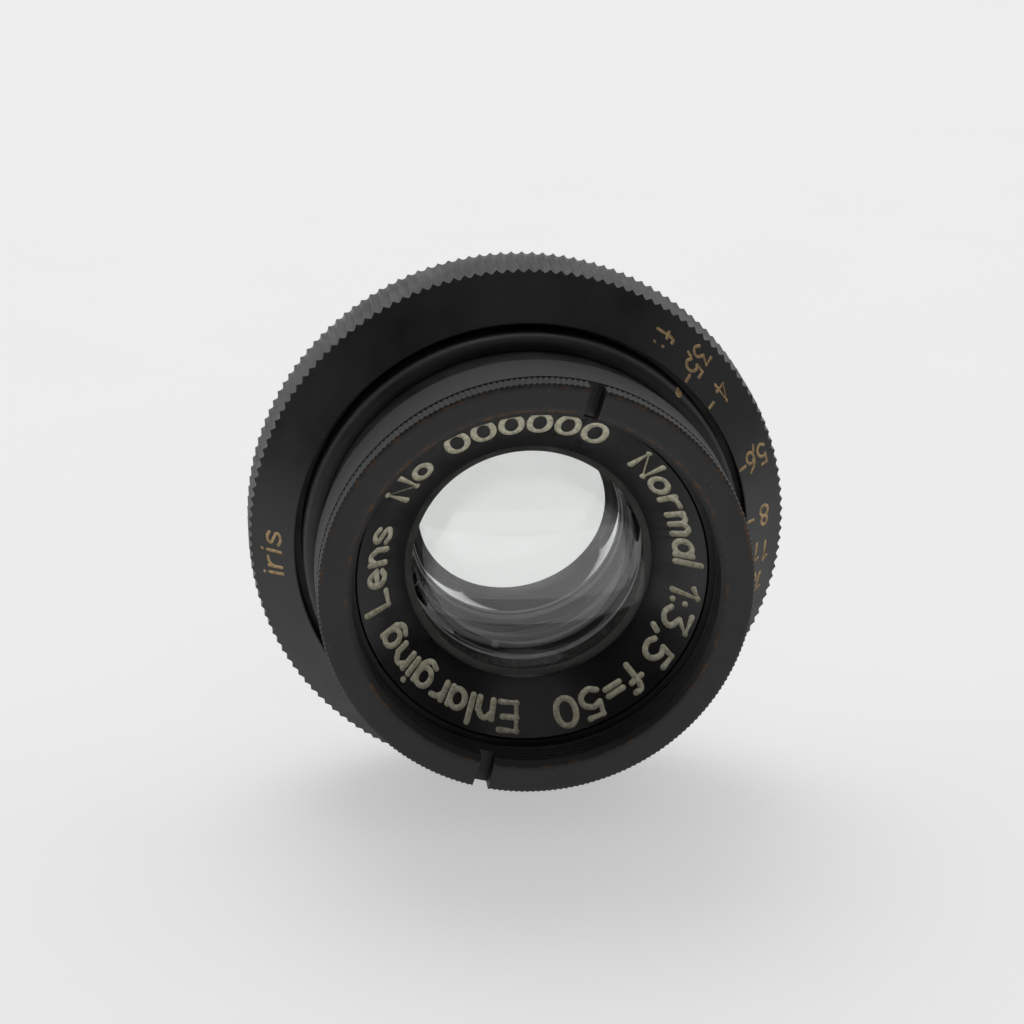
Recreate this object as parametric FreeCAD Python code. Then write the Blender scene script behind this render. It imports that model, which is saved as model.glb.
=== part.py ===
import FreeCAD, Part
import math
import os

os.makedirs("parts", exist_ok=True)

# Enlarger lens, f = 50 mm, 1:3.5, in millimetres.
# The optical axis is Y, the front of the lens faces -Y and +Z is up.  The origin is the centre
# of the mount seat.  Places along the axis are written as a depth behind the front rim.
# Angles about the axis are counter-clockwise as seen from the front, and start at +X.

# ---- overall sizes -----------------------------------------------------------------------
face_width = 3.0             # of the aperture ring, from its lip out to the knurl crests
stop_half = 7.0              # half of the full opening at the iris
flange_length = 5.0          # of the front cell, outside the barrel
neck_length = 3.2
collar_length = 2.4
bearing_length = 5.7         # land on which the aperture ring turns
seat_thickness = 1.3         # of the flange in front of the mount seat

# ---- named clearances --------------------------------------------------------------------
running = 0.05               # radial, between pieces that turn on one another
seating = 0.03               # radial, between pieces that screw or drop into one another
end_play = 0.05              # axial, between pieces that turn or seat face to face
glass_gap = 0.03             # between glass and metal

# ---- front cell and name ring ------------------------------------------------------------
rim_width = 1.9              # from the rim in to the filter thread M24 x 0.5
filter_thread_pitch = 0.5
filter_thread_end = 2.6      # depth at which the filter thread stops
mouth_chamfer = 0.35
rim_edge = 0.12
name_ring_step = 0.35        # from the filter thread down to the name ring's bore
name_ring_edge = 0.1
notch_width = 1.05
notch_depth = 1.3
notch_angle = 75.5           # of the upper spanner notch; the other one is opposite
neck_step = 0.45             # from the barrel's neck out to the rim
tube_wall = 1.05             # of the barrel's front tube, round the cell's thread

# ---- optics: radius of each surface, thickness and half diameter of each glass -----------
front_vertex = 3.03
front_radii = (15.6, 250.0)
front_edge = 0.67            # thickness at the edge of the front glass
front_half = 8.3
clear_margin = 0.25          # of the front glass, under the name ring
middle_gap = 1.2
middle_radii = (31.0, 14.8)
middle_thickness = 0.9
middle_half = 7.6
middle_ledge = 0.3
middle_border = 0.7          # flat border round the rear hollow
middle_lock_length = 0.35
flint_radii = (66.0, 15.3)
flint_thickness = 1.0
crown_radius = 20.7
crown_edge = 0.73
rear_margin = 0.5            # of the rear glasses, beyond the full opening
rear_ledge_width = 0.5

# ---- barrel ------------------------------------------------------------------------------
collar_height = 1.05         # index collar, above the neck
collar_nose = 0.85           # axial length of the collar's rounded front
land_height = 0.75           # bearing land, above the neck
seat_inset = 1.05            # from the knurl in to the edge of the mount flange
mount_wall = 2.2             # from the rear cell's thread out to the mount thread M24 x 0.75
mount_thread_length = 4.0
thread_chamfer = 0.3
iris_band = 4.0              # from the full opening out to the wall of the iris chamber
chamber_wall = 3.2           # from the iris chamber out to the bearing land
base_step = 0.6              # step on which the iris base plate lies

# ---- aperture ring -----------------------------------------------------------------------
groove_width = 0.45          # between the index collar and the ring's lip
lip_overhang = 1.48          # how far the lip reaches forward over the collar
lip_flat = 0.12
face_slope = 0.9             # axial run of the scale cone for each millimetre of radius
knurl_count = 160
knurl_height = 0.22
rear_chamfer = 0.22
washer_recess = 0.4
washer_width = 1.4
washer_margin = 0.35

# ---- iris --------------------------------------------------------------------------------
leaf_count = 8
leaf_thickness = 0.05
leaf_span = 130.0            # angle between a leaf's two studs
leaf_slope = 0.09            # rise of a leaf along its length, so that the leaves can fan
leaf_taper = 1.2
taper_angle = 30.0
leaf_edge_gap = 0.6          # from the chamber wall to a leaf's outer edge
stud_inset = 1.3             # from the chamber wall to the circle of studs
stud_radius = 0.35
stud_pad = 0.8
largest_stop = 3.5
smallest_stop = 16.0
ring_travel = 59.0           # degrees, from the largest to the smallest stop
iris_lock_length = 0.38
base_thickness = 0.5
leaf_room = 0.3              # axial, between the rear end of the leaves and the cam ring
cam_disc = 0.5
cam_rim = 0.65
screw_angle = 305.0          # of the drive screw at the largest stop
screw_radius = 0.8
screw_recess = 0.5           # from the knurl down to the screw's head
screw_slot = 0.25
screw_pin_radius = 0.45
screw_pin_reach = 0.5        # how far the pin goes into the cam ring

# ---- rear cell ---------------------------------------------------------------------------
nose_gap = 0.1               # between the cam ring and the rear cell
nose_wall = 0.3
glass_wall = 1.7             # from the rear glasses out to the rear cell's nose
thread_step = 0.6            # from the nose out to the rear cell's thread
thread_relief = 0.5
rear_rim_step = 1.1          # from the rear cell's thread out to its rim
rear_rim_length = 0.9
rear_mouth_wall = 0.4
rear_lock_step = 0.5         # from the rear glass out to its retaining ring
rear_lock_length = 1.1
spanner_slot = 0.9


def sag(curve, radius):
    """How far a spherical surface has left its vertex plane at this radius."""
    return curve - math.sqrt(curve * curve - radius * radius)


# ---- radii that follow, from the iris outwards -------------------------------------------
chamber_radius = stop_half + iris_band
land_radius = chamber_radius + chamber_wall
neck_radius = land_radius - land_height
rim_radius = neck_radius + neck_step
filter_bore = rim_radius - rim_width - 0.54 * filter_thread_pitch
name_ring_bore = filter_bore - name_ring_step
clear_half = front_half - clear_margin
tube_radius = neck_radius - tube_wall
collar_radius = neck_radius + collar_height
ring_lip_radius = collar_radius + groove_width
knurl_radius = ring_lip_radius + face_width
flange_radius = knurl_radius - seat_inset
cam_radius = chamber_radius - running
iris_opening = stop_half + 0.05
stud_circle = chamber_radius - stud_inset
leaf_outer = chamber_radius - leaf_edge_gap
middle_hollow = middle_half - middle_border
middle_opening = middle_half - middle_ledge
cam_rim_inner = stud_circle + stud_radius + 3 * running
rear_half = stop_half + rear_margin
rear_opening = rear_half - rear_ledge_width
nose_radius = rear_half + glass_wall
rear_thread_radius = nose_radius + thread_step
rear_rim_radius = rear_thread_radius + rear_rim_step
mount_thread_radius = rear_thread_radius + mount_wall

# ---- iris movement -----------------------------------------------------------------------
closed_half = stop_half * largest_stop / smallest_stop
leaf_travel = 2 * math.degrees(math.asin((stop_half - closed_half) / (2 * stud_circle)))
leaf_ratio = leaf_travel / ring_travel
leaf_length = 2 * stud_circle * math.sin(math.radians(leaf_span / 2))

# ---- depths that follow ------------------------------------------------------------------
neck_end = flange_length + neck_length
collar_end = neck_end + collar_length
flange_front = collar_end + bearing_length
seat_depth = flange_front + seat_thickness
barrel_end = seat_depth + mount_thread_length
ring_lip_depth = collar_end - lip_overhang
ring_rear = flange_front - 2 * end_play
front_thickness = front_edge + sag(front_radii[0], front_half) + sag(front_radii[1], front_half)
name_ring_rear = front_vertex + sag(front_radii[0], front_half)
middle_vertex = front_vertex + front_thickness + middle_gap
middle_rear = middle_vertex + middle_thickness
middle_lock_front = middle_rear + sag(middle_radii[1], middle_hollow) + glass_gap
middle_lock_rear = middle_lock_front + middle_lock_length
front_cell_end = middle_lock_rear + glass_gap
iris_lock_front = front_cell_end + end_play
iris_lock_rear = iris_lock_front + iris_lock_length
base_front = iris_lock_rear + end_play / 2
base_rear = base_front + base_thickness
leaf_front = base_rear + stud_pad * leaf_slope + end_play
leaf_rear = leaf_front + (leaf_length + stud_pad) * leaf_slope + leaf_thickness
cam_front = leaf_rear + leaf_room
cam_disc_rear = cam_front + cam_disc
cam_end = cam_disc_rear + cam_rim
screw_depth = (cam_front + cam_end) / 2
nose_front = cam_disc_rear + nose_gap
rear_thread_front = cam_end + thread_relief
rear_ledge = nose_front + nose_wall
rear_vertex = rear_ledge + glass_gap + sag(flint_radii[0], rear_half)
cement_vertex = rear_vertex + flint_thickness
last_vertex = cement_vertex + crown_edge + sag(flint_radii[1], rear_half) + sag(crown_radius, rear_half)
rear_lock_front = last_vertex - sag(crown_radius, rear_half) + glass_gap
rear_lock_rear = rear_lock_front + rear_lock_length
rear_rim_front = barrel_end + end_play
rear_rim_rear = rear_rim_front + rear_rim_length

origin = FreeCAD.Vector(0, 0, 0)
backward = FreeCAD.Vector(0, 1, 0)
forward = FreeCAD.Vector(0, -1, 0)


def at(radius, depth):
    """A point of a turned outline."""
    return FreeCAD.Vector(radius, depth - seat_depth, 0)


def around(radius, angle, depth):
    """A point at an angle about the axis."""
    turn = math.radians(angle)
    return FreeCAD.Vector(radius * math.cos(turn), depth - seat_depth, radius * math.sin(turn))


def dome(curve, vertex, outer, inner=0.0):
    """Three points of a lens surface whose edge lies behind its vertex."""
    radii = (inner, (outer + inner) / 2, outer)
    return [at(radius, vertex + sag(curve, radius)) for radius in radii]


def hollow(curve, vertex, outer, inner=0.0):
    """Three points of a lens surface whose edge lies in front of its vertex."""
    radii = (inner, (outer + inner) / 2, outer)
    return [at(radius, vertex - sag(curve, radius)) for radius in radii]


def turned(outline):
    """Turn a closed outline about the axis.  A list of three points in it is an arc."""
    edges = []
    points = []
    for item in outline:
        if isinstance(item, list):
            edges.append(Part.Arc(item[0], item[1], item[2]).toShape())
            points.append((item[0], item[2]))
        else:
            points.append((item, item))
    for index in range(len(points)):
        start = points[index - 1][1]
        end = points[index][0]
        if (end - start).Length > 1e-6:
            edges.append(Part.makeLine(start, end))
    wire = Part.Wire(Part.__sortEdges__(edges))
    return Part.Face(wire).revolve(origin, backward, 360)


def plain_ring(inner, outer, front, rear):
    return turned([at(inner, front), at(outer, front), at(outer, rear), at(inner, rear)])


def radial_box(width, inner, outer, front, rear, angle):
    """A block that lies along a radius."""
    corner = at(inner, front) - FreeCAD.Vector(0, 0, width / 2)
    block = Part.makeBox(outer - inner, rear - front, width, corner)
    return block.rotate(origin, forward, angle)


def radial_rod(radius, inner, outer, depth, angle):
    """A round bar that lies along a radius."""
    rod = Part.makeCylinder(radius, outer - inner, at(inner, depth), FreeCAD.Vector(1, 0, 0))
    return rod.rotate(origin, forward, angle)


def toothed_disc(crest, root, count, front, rear):
    """A disc whose edge has V-shaped teeth along the axis."""
    points = []
    for step in range(count):
        points.append(around(crest, step * 360.0 / count, front))
        points.append(around(root, (step + 0.5) * 360.0 / count, front))
    points.append(points[0])
    return Part.Face(Part.makePolygon(points)).extrude(backward * (rear - front))


def front_cell():
    """Rim, filter thread and flange in one piece, which holds the front and middle glasses."""
    thread = tube_radius - seating
    front_seat = front_vertex + front_thickness - sag(front_radii[1], middle_opening) + glass_gap
    middle_seat = middle_vertex - sag(middle_radii[0], middle_half) - glass_gap
    ring_seat = name_ring_rear + glass_gap
    front_bore = front_half + seating
    middle_bore = middle_half + seating
    body = turned([
        at(filter_bore + mouth_chamfer, 0), at(rim_radius - rim_edge, 0), at(rim_radius, rim_edge),
        at(rim_radius, flange_length), at(thread, flange_length), at(thread, front_cell_end),
        at(middle_bore, front_cell_end), at(middle_bore, middle_seat),
        at(middle_opening, middle_seat), at(middle_opening, front_seat),
        at(front_bore, front_seat), at(front_bore, ring_seat),
        at(name_ring_bore, ring_seat), at(name_ring_bore, filter_thread_end),
        at(filter_bore, filter_thread_end), at(filter_bore, mouth_chamfer)])
    for angle in (notch_angle, notch_angle + 180):
        notch = radial_box(notch_width, filter_bore - 0.1, rim_radius + 0.5, -0.5, notch_depth, angle)
        body = body.cut(notch)
    return body


def name_ring():
    """Conical ring that carries the engraving and holds the front glass by its edge."""
    outer = name_ring_bore - seating
    front = filter_thread_end + 2 * end_play
    lip = front_vertex + sag(front_radii[0], clear_half) - glass_gap
    under = dome(front_radii[0], front_vertex - glass_gap, front_half, clear_half)
    return turned([
        at(clear_half, lip - glass_gap), at(outer - name_ring_edge, front),
        at(outer, front + name_ring_edge), at(outer, name_ring_rear),
        at(front_half, name_ring_rear), under])


def front_element():
    rear = front_vertex + front_thickness
    front_face = dome(front_radii[0], front_vertex, front_half)
    return turned([front_face, hollow(front_radii[1], rear, front_half)[::-1]])


def middle_element():
    front_face = hollow(middle_radii[0], middle_vertex, middle_half)
    rear_face = dome(middle_radii[1], middle_rear, middle_hollow)
    return turned([front_face, at(middle_half, middle_lock_front - glass_gap), rear_face[::-1]])


def middle_retaining_ring():
    return plain_ring(middle_hollow + 0.05, middle_half, middle_lock_front, middle_lock_rear)


def drive_slot():
    """Opening through the barrel's wall, whose two ends stop the drive screw."""
    half = screw_pin_radius + running
    inner = chamber_radius - 0.5
    outer = land_radius + 0.5
    front = screw_depth - half
    far = 2 * outer
    corners = [around(far, angle, front) for angle in (0, ring_travel / 2, ring_travel)]
    centre = around(0, 0, front)
    edges = [
        Part.makeLine(centre, corners[0]),
        Part.Arc(corners[0], corners[1], corners[2]).toShape(),
        Part.makeLine(corners[2], centre)]
    sector = Part.Face(Part.Wire(edges)).extrude(backward * 2 * half)
    sector.rotate(origin, forward, screw_angle)
    slot = plain_ring(inner, outer, front, front + 2 * half).common(sector)
    for angle in (screw_angle, screw_angle + ring_travel):
        slot = slot.fuse(radial_rod(half, inner, outer, screw_depth, angle))
    return slot


def main_barrel():
    """Tube that carries both cells, the iris and the aperture ring, with the mount thread."""
    step = chamber_radius + base_step
    shoulder = cam_end + end_play
    nose_bore = nose_radius + seating
    front = flange_length + end_play
    body = turned([
        at(tube_radius, front), at(neck_radius, front),
        at(neck_radius, collar_end), at(land_radius, collar_end),
        at(land_radius, flange_front), at(flange_radius, flange_front),
        at(flange_radius, seat_depth), at(mount_thread_radius, seat_depth),
        at(mount_thread_radius, barrel_end - thread_chamfer),
        at(mount_thread_radius - thread_chamfer, barrel_end),
        at(rear_thread_radius, barrel_end), at(rear_thread_radius, rear_thread_front),
        at(nose_bore, rear_thread_front), at(nose_bore, shoulder),
        at(chamber_radius, shoulder), at(chamber_radius, base_rear),
        at(step, base_rear), at(step, base_front), at(tube_radius, base_front)])
    return body.cut(drive_slot())


def index_collar():
    """Fixed collar with a rounded front, which holds the aperture ring and carries the index."""
    inner = neck_radius + seating
    rounded = [
        at(neck_radius + collar_height / 2, neck_end),
        at(collar_radius - 0.1, neck_end + 0.4 * collar_nose),
        at(collar_radius, neck_end + collar_nose)]
    return turned([at(inner, neck_end), rounded, at(collar_radius, collar_end), at(inner, collar_end)])


def aperture_ring():
    bore = land_radius + running
    recess = bore + washer_margin + washer_width + washer_margin
    recess_depth = ring_rear - washer_recess
    shoulder = collar_end + end_play
    face_inner = ring_lip_radius + lip_flat
    face_end = ring_lip_depth + (knurl_radius - face_inner) * face_slope
    body = turned([
        at(ring_lip_radius, ring_lip_depth), at(face_inner, ring_lip_depth),
        at(knurl_radius, face_end), at(knurl_radius, ring_rear - rear_chamfer),
        at(knurl_radius - rear_chamfer, ring_rear), at(recess, ring_rear),
        at(recess, recess_depth), at(bore, recess_depth),
        at(bore, shoulder), at(ring_lip_radius, shoulder)])
    root = knurl_radius - knurl_height
    teeth = toothed_disc(knurl_radius, root, knurl_count, ring_lip_depth - 1, ring_rear + 1)
    hole = radial_rod(screw_radius, land_radius - 0.5, knurl_radius + 0.5, screw_depth, screw_angle)
    return body.common(teeth).cut(hole)


def friction_washer():
    """Sprung washer that gives the aperture ring its drag."""
    inner = land_radius + running + washer_margin
    front = ring_rear - washer_recess + end_play / 2
    return plain_ring(inner, inner + washer_width, front, flange_front - end_play / 2)


def drive_screw():
    """Set screw in the aperture ring, whose pin drives the cam ring through the barrel's slot."""
    head = knurl_radius - screw_recess
    foot = land_radius + 2 * running
    body = radial_rod(screw_radius - seating, foot, head, screw_depth, screw_angle)
    tip = cam_radius - screw_pin_reach
    body = body.fuse(radial_rod(screw_pin_radius, tip, foot + 0.5, screw_depth, screw_angle))
    front = screw_depth - 2 * screw_radius
    rear = screw_depth + 2 * screw_radius
    return body.cut(radial_box(screw_slot, head - 0.45, head + 1, front, rear, screw_angle))


def iris_base():
    """Plate with the holes in which the leaves' fixed studs turn."""
    outer = chamber_radius + base_step - seating
    plate = plain_ring(iris_opening, outer, base_front, base_rear - 0.01)
    for number in range(leaf_count):
        foot = around(stud_circle, leaf_angle(number), base_front - 0.2)
        plate = plate.cut(Part.makeCylinder(stud_radius + running, base_thickness + 0.4, foot, backward))
    return plate


def iris_retaining_ring():
    inner = chamber_radius - base_step
    body = plain_ring(inner, tube_radius - seating, iris_lock_front, iris_lock_rear)
    for angle in (0, 180):
        slot = radial_box(
            spanner_slot, inner - 0.5, inner + 1.0, iris_lock_front - 0.1, iris_lock_rear + 0.1, angle)
        body = body.cut(slot)
    return body


def leaf_angle(number):
    """Angle of a leaf's fixed stud."""
    return number * 360.0 / leaf_count


def iris_leaf(number):
    """Thin steel crescent with a fixed stud at its front end and a driven stud at its rear end."""
    tapered = stop_half + leaf_taper
    heel = around(leaf_outer, 0, leaf_front)
    toe = around(leaf_outer, leaf_span, leaf_front)
    tip = around(tapered, leaf_span, leaf_front)
    root = around(tapered, 0, leaf_front)
    upper = around(stop_half, leaf_span - taper_angle, leaf_front)
    lower = around(stop_half, taper_angle, leaf_front)
    outer_middle = around(leaf_outer, leaf_span / 2, leaf_front)
    inner_middle = around(stop_half, leaf_span / 2, leaf_front)
    outline = Part.Wire([
        Part.Arc(heel, outer_middle, toe).toShape(),
        Part.makeLine(toe, tip),
        Part.makeLine(tip, upper),
        Part.Arc(upper, inner_middle, lower).toShape(),
        Part.makeLine(lower, root),
        Part.makeLine(root, heel)])
    blade = Part.Face(outline).extrude(backward * leaf_thickness)
    fixed = around(stud_circle, 0, leaf_front)
    driven = around(stud_circle, leaf_span, leaf_front)
    pads = [Part.makeCylinder(stud_pad, leaf_thickness, centre, backward) for centre in (fixed, driven)]
    blade = blade.fuse(pads).removeSplitter()
    along = driven - fixed
    blade.rotate(fixed, along.cross(backward), math.degrees(math.atan(leaf_slope)))
    fixed_foot = fixed - backward * (leaf_front - base_front - end_play)
    length = leaf_front + 0.03 - base_front - end_play
    fixed_stud = Part.makeCylinder(stud_radius, length, fixed_foot, backward)
    rise = leaf_length * leaf_slope + 0.02
    driven_foot = driven + backward * rise
    reach = cam_disc_rear - end_play - leaf_front - rise
    driven_stud = Part.makeCylinder(stud_radius, reach, driven_foot, backward)
    leaf = blade.fuse([fixed_stud, driven_stud])
    return leaf.rotate(origin, forward, leaf_angle(number))


def driven_place(turn):
    """Centre of the first leaf's driven stud in the cam ring, when the ring has turned this far."""
    fixed = around(stud_circle, 0, cam_front)
    arm = around(stud_circle, leaf_span, cam_front) - fixed
    swung = FreeCAD.Rotation(forward, leaf_ratio * turn).multVec(arm)
    return FreeCAD.Rotation(forward, -turn).multVec(fixed + swung)


def cam_slot():
    """Slot that the first leaf's driven stud runs along."""
    half = stud_radius + running
    steps = 12
    left = []
    right = []
    ways = []
    for step in range(steps + 1):
        turn = ring_travel * step / steps
        way = driven_place(turn + 0.5) - driven_place(turn - 0.5)
        way.normalize()
        across = way.cross(backward) * half
        left.append(driven_place(turn) + across)
        right.append(driven_place(turn) - across)
        ways.append(way * half)
    sides = []
    for points in (left, right):
        curve = Part.BSplineCurve()
        curve.interpolate(points)
        sides.append(curve.toShape())
    start = Part.Arc(left[0], driven_place(0) - ways[0], right[0]).toShape()
    end = Part.Arc(left[-1], driven_place(ring_travel) + ways[-1], right[-1]).toShape()
    wire = Part.Wire(Part.__sortEdges__([sides[0], end, sides[1], start]))
    slot = Part.Face(wire).extrude(backward * (cam_disc + 0.4))
    return slot.translate(forward * 0.2)


def cam_ring():
    """Ring with one slot for each leaf, driven by the aperture ring's screw."""
    body = turned([
        at(iris_opening, cam_front), at(cam_radius, cam_front), at(cam_radius, cam_end),
        at(cam_rim_inner, cam_end), at(cam_rim_inner, cam_disc_rear), at(iris_opening, cam_disc_rear)])
    slot = cam_slot()
    for number in range(leaf_count):
        body = body.cut(slot.copy().rotate(origin, forward, leaf_angle(number)))
    tip = cam_radius - screw_pin_reach - end_play
    return body.cut(radial_rod(screw_pin_radius + seating, tip, cam_radius + 0.5, screw_depth, screw_angle))


def rear_cell():
    """Holder of the cemented rear pair, which screws into the barrel from behind."""
    thread = rear_thread_radius - seating
    thread_front = rear_thread_front + end_play
    glass_bore = rear_half + seating
    lock_bore = rear_half + rear_lock_step
    lock_seat = rear_lock_front - glass_gap
    mouth = rear_thread_radius - rear_mouth_wall
    body = turned([
        at(rear_opening, nose_front), at(nose_radius, nose_front), at(nose_radius, thread_front),
        at(thread, thread_front), at(thread, rear_rim_front), at(rear_rim_radius, rear_rim_front),
        at(rear_rim_radius, rear_rim_rear - 0.2), at(rear_rim_radius - 0.2, rear_rim_rear),
        at(mouth, rear_rim_rear), at(lock_bore, rear_lock_rear + 0.3), at(lock_bore, lock_seat),
        at(glass_bore, lock_seat), at(glass_bore, rear_ledge), at(rear_opening, rear_ledge)])
    for angle in (0, 180):
        slot = radial_box(
            spanner_slot, mouth - 0.5, rear_rim_radius + 0.5, rear_rim_rear - 0.6, rear_rim_rear + 0.5, angle)
        body = body.cut(slot)
    return body


def rear_flint():
    front_face = hollow(flint_radii[0], rear_vertex, rear_half)
    return turned([front_face, dome(flint_radii[1], cement_vertex, rear_half)[::-1]])


def rear_crown():
    front_face = dome(flint_radii[1], cement_vertex + glass_gap, rear_half)
    return turned([front_face, hollow(crown_radius, last_vertex, rear_half)[::-1]])


def rear_retaining_ring():
    inner = rear_half - 0.55
    outer = rear_half + rear_lock_step - seating
    seat = hollow(crown_radius, last_vertex + glass_gap, rear_half, inner)
    body = turned([
        seat, at(outer, rear_lock_front), at(outer, rear_lock_rear), at(inner + 0.5, rear_lock_rear)])
    for angle in (90, 270):
        slot = radial_box(
            spanner_slot, inner - 0.3, outer + 0.3, rear_lock_rear - 0.5, rear_lock_rear + 0.5, angle)
        body = body.cut(slot)
    return body


turned_pieces = [
    front_cell, name_ring, front_element, middle_element, middle_retaining_ring,
    main_barrel, index_collar, aperture_ring, friction_washer, drive_screw,
    iris_retaining_ring, iris_base, cam_ring,
    rear_cell, rear_flint, rear_crown, rear_retaining_ring]

for make in turned_pieces:
    make().exportStep("parts/%s.step" % make.__name__)

for number in range(leaf_count):
    iris_leaf(number).exportStep("parts/iris_leaf_%02d.step" % (number + 1))
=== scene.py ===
import math
import bmesh
import bpy
from mathutils import Matrix, Quaternion, Vector


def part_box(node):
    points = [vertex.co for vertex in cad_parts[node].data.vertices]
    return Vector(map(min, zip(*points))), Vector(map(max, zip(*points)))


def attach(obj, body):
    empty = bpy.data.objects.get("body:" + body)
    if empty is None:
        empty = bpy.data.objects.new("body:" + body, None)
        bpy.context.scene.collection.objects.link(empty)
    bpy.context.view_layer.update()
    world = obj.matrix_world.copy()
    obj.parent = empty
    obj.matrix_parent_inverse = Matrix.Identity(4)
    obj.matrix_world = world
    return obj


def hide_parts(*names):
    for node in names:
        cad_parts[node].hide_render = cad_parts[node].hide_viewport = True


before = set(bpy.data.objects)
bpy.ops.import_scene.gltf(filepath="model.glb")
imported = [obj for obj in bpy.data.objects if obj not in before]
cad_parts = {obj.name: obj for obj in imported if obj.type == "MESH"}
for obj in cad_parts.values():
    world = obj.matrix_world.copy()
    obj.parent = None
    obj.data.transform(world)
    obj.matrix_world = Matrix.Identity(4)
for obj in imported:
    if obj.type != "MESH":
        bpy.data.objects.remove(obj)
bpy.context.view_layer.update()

# Enlarger lens in metres.  The optical axis is Y, the front faces -Y and +Z is up.
# Outlines are written in millimetres as (radius, depth behind the front rim).

MM = 0.001
RIM_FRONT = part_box("front_cell")[0].y


def depth_of(y):
    return (y - RIM_FRONT) / MM


def radius_of(node):
    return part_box(node)[1].x / MM


def front_of(node):
    return depth_of(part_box(node)[0].y)


def rear_of(node):
    return depth_of(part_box(node)[1].y)


def sag(curve, radius):
    return curve - math.sqrt(curve * curve - radius * radius)


# ---- sizes, in millimetres ---------------------------------------------------------------
RIM = radius_of("front_cell")
FLANGE_REAR = 5.0
FILTER_BORE = RIM - 2.17
NECK = RIM - 0.45
COLLAR = radius_of("index_collar")
COLLAR_FRONT = front_of("index_collar")
COLLAR_REAR = rear_of("index_collar")
KNURL = radius_of("aperture_ring")
LIP = COLLAR + 0.45
LIP_FRONT = front_of("aperture_ring")
RING_REAR = rear_of("aperture_ring")
SEAT = depth_of(0.0)
FLANGE = KNURL - 1.05
BARREL_END = rear_of("main_barrel")
FACE_SLOPE = 0.9
NOTCH_ANGLE = 75.5
NOTCH_WIDTH = 1.05
NOTCH_DEPTH = 1.3


# ---- making meshes -----------------------------------------------------------------------
def point(radius, depth):
    return Vector((radius, 0, 0)) * MM + Vector((0, RIM_FRONT + depth * MM, 0))


def outline_mesh(outline, closed=True):
    """A wire in the plane of the axis, ready to be spun."""
    mesh = bmesh.new()
    verts = [mesh.verts.new(point(radius, depth)) for radius, depth in outline]
    for index in range(0 if closed else 1, len(verts)):
        mesh.edges.new((verts[index - 1], verts[index]))
    return mesh


def spin_part(mesh, steps, angle):
    bmesh.ops.spin(
        mesh, geom=mesh.verts[:] + mesh.edges[:] + mesh.faces[:], cent=(0, 0, 0), axis=(0, -1, 0),
        dvec=(0, 0, 0), angle=angle, steps=steps, use_merge=False, use_duplicate=False)


def close_up(mesh):
    bmesh.ops.remove_doubles(mesh, verts=mesh.verts[:], dist=1e-7)
    bmesh.ops.recalc_face_normals(mesh, faces=mesh.faces[:])


def spin_round(mesh, steps):
    """A full turn, made as one sixteenth that is doubled four times."""
    turn = math.tau / 16
    spin_part(mesh, steps // 16, turn)
    for _ in range(4):
        grown = bmesh.ops.duplicate(mesh, geom=mesh.verts[:] + mesh.edges[:] + mesh.faces[:])
        verts = [item for item in grown["geom"] if isinstance(item, bmesh.types.BMVert)]
        bmesh.ops.rotate(mesh, verts=verts, cent=(0, 0, 0), matrix=Matrix.Rotation(-turn, 3, "Y"))
        turn *= 2
    close_up(mesh)


def radius_and_depth(vert):
    return math.hypot(vert.co.x, vert.co.z) / MM, depth_of(vert.co.y)


def set_radius(vert, radius):
    old = math.hypot(vert.co.x, vert.co.z)
    vert.co.x *= radius * MM / old
    vert.co.z *= radius * MM / old


def turned_part(outline, steps):
    mesh = outline_mesh(outline)
    spin_round(mesh, steps)
    return mesh


def finish_piece(mesh, name, body, material, nodes=(), sharp=28.0):
    data = bpy.data.meshes.new(name)
    mesh.to_mesh(data)
    mesh.free()
    data.shade_smooth()
    data.set_sharp_from_angle(angle=math.radians(sharp))
    data.materials.append(material)
    piece = bpy.data.objects.new(name, data)
    bpy.context.scene.collection.objects.link(piece)
    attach(piece, body)
    if nodes:
        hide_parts(*nodes)
    return piece


def line_walls(piece, radius):
    """Gives the walls inside a radius a lighter grey, painted light for the light from behind that brightens
    the lens's inside.
    """
    piece.data.materials.append(inner_wall_painted_light)
    for face in piece.data.polygons:
        if math.hypot(face.center.x, face.center.z) < radius * MM:
            face.material_index = 1


def arc_points(curve, vertex, outer, inner=0.0, steps=16, hollow=False):
    """Points of a lens surface from the inner to the outer radius."""
    sign = -1 if hollow else 1
    places = [inner + (outer - inner) * step / steps for step in range(steps + 1)]
    return [(place, vertex + sign * sag(curve, place)) for place in places]


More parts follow.
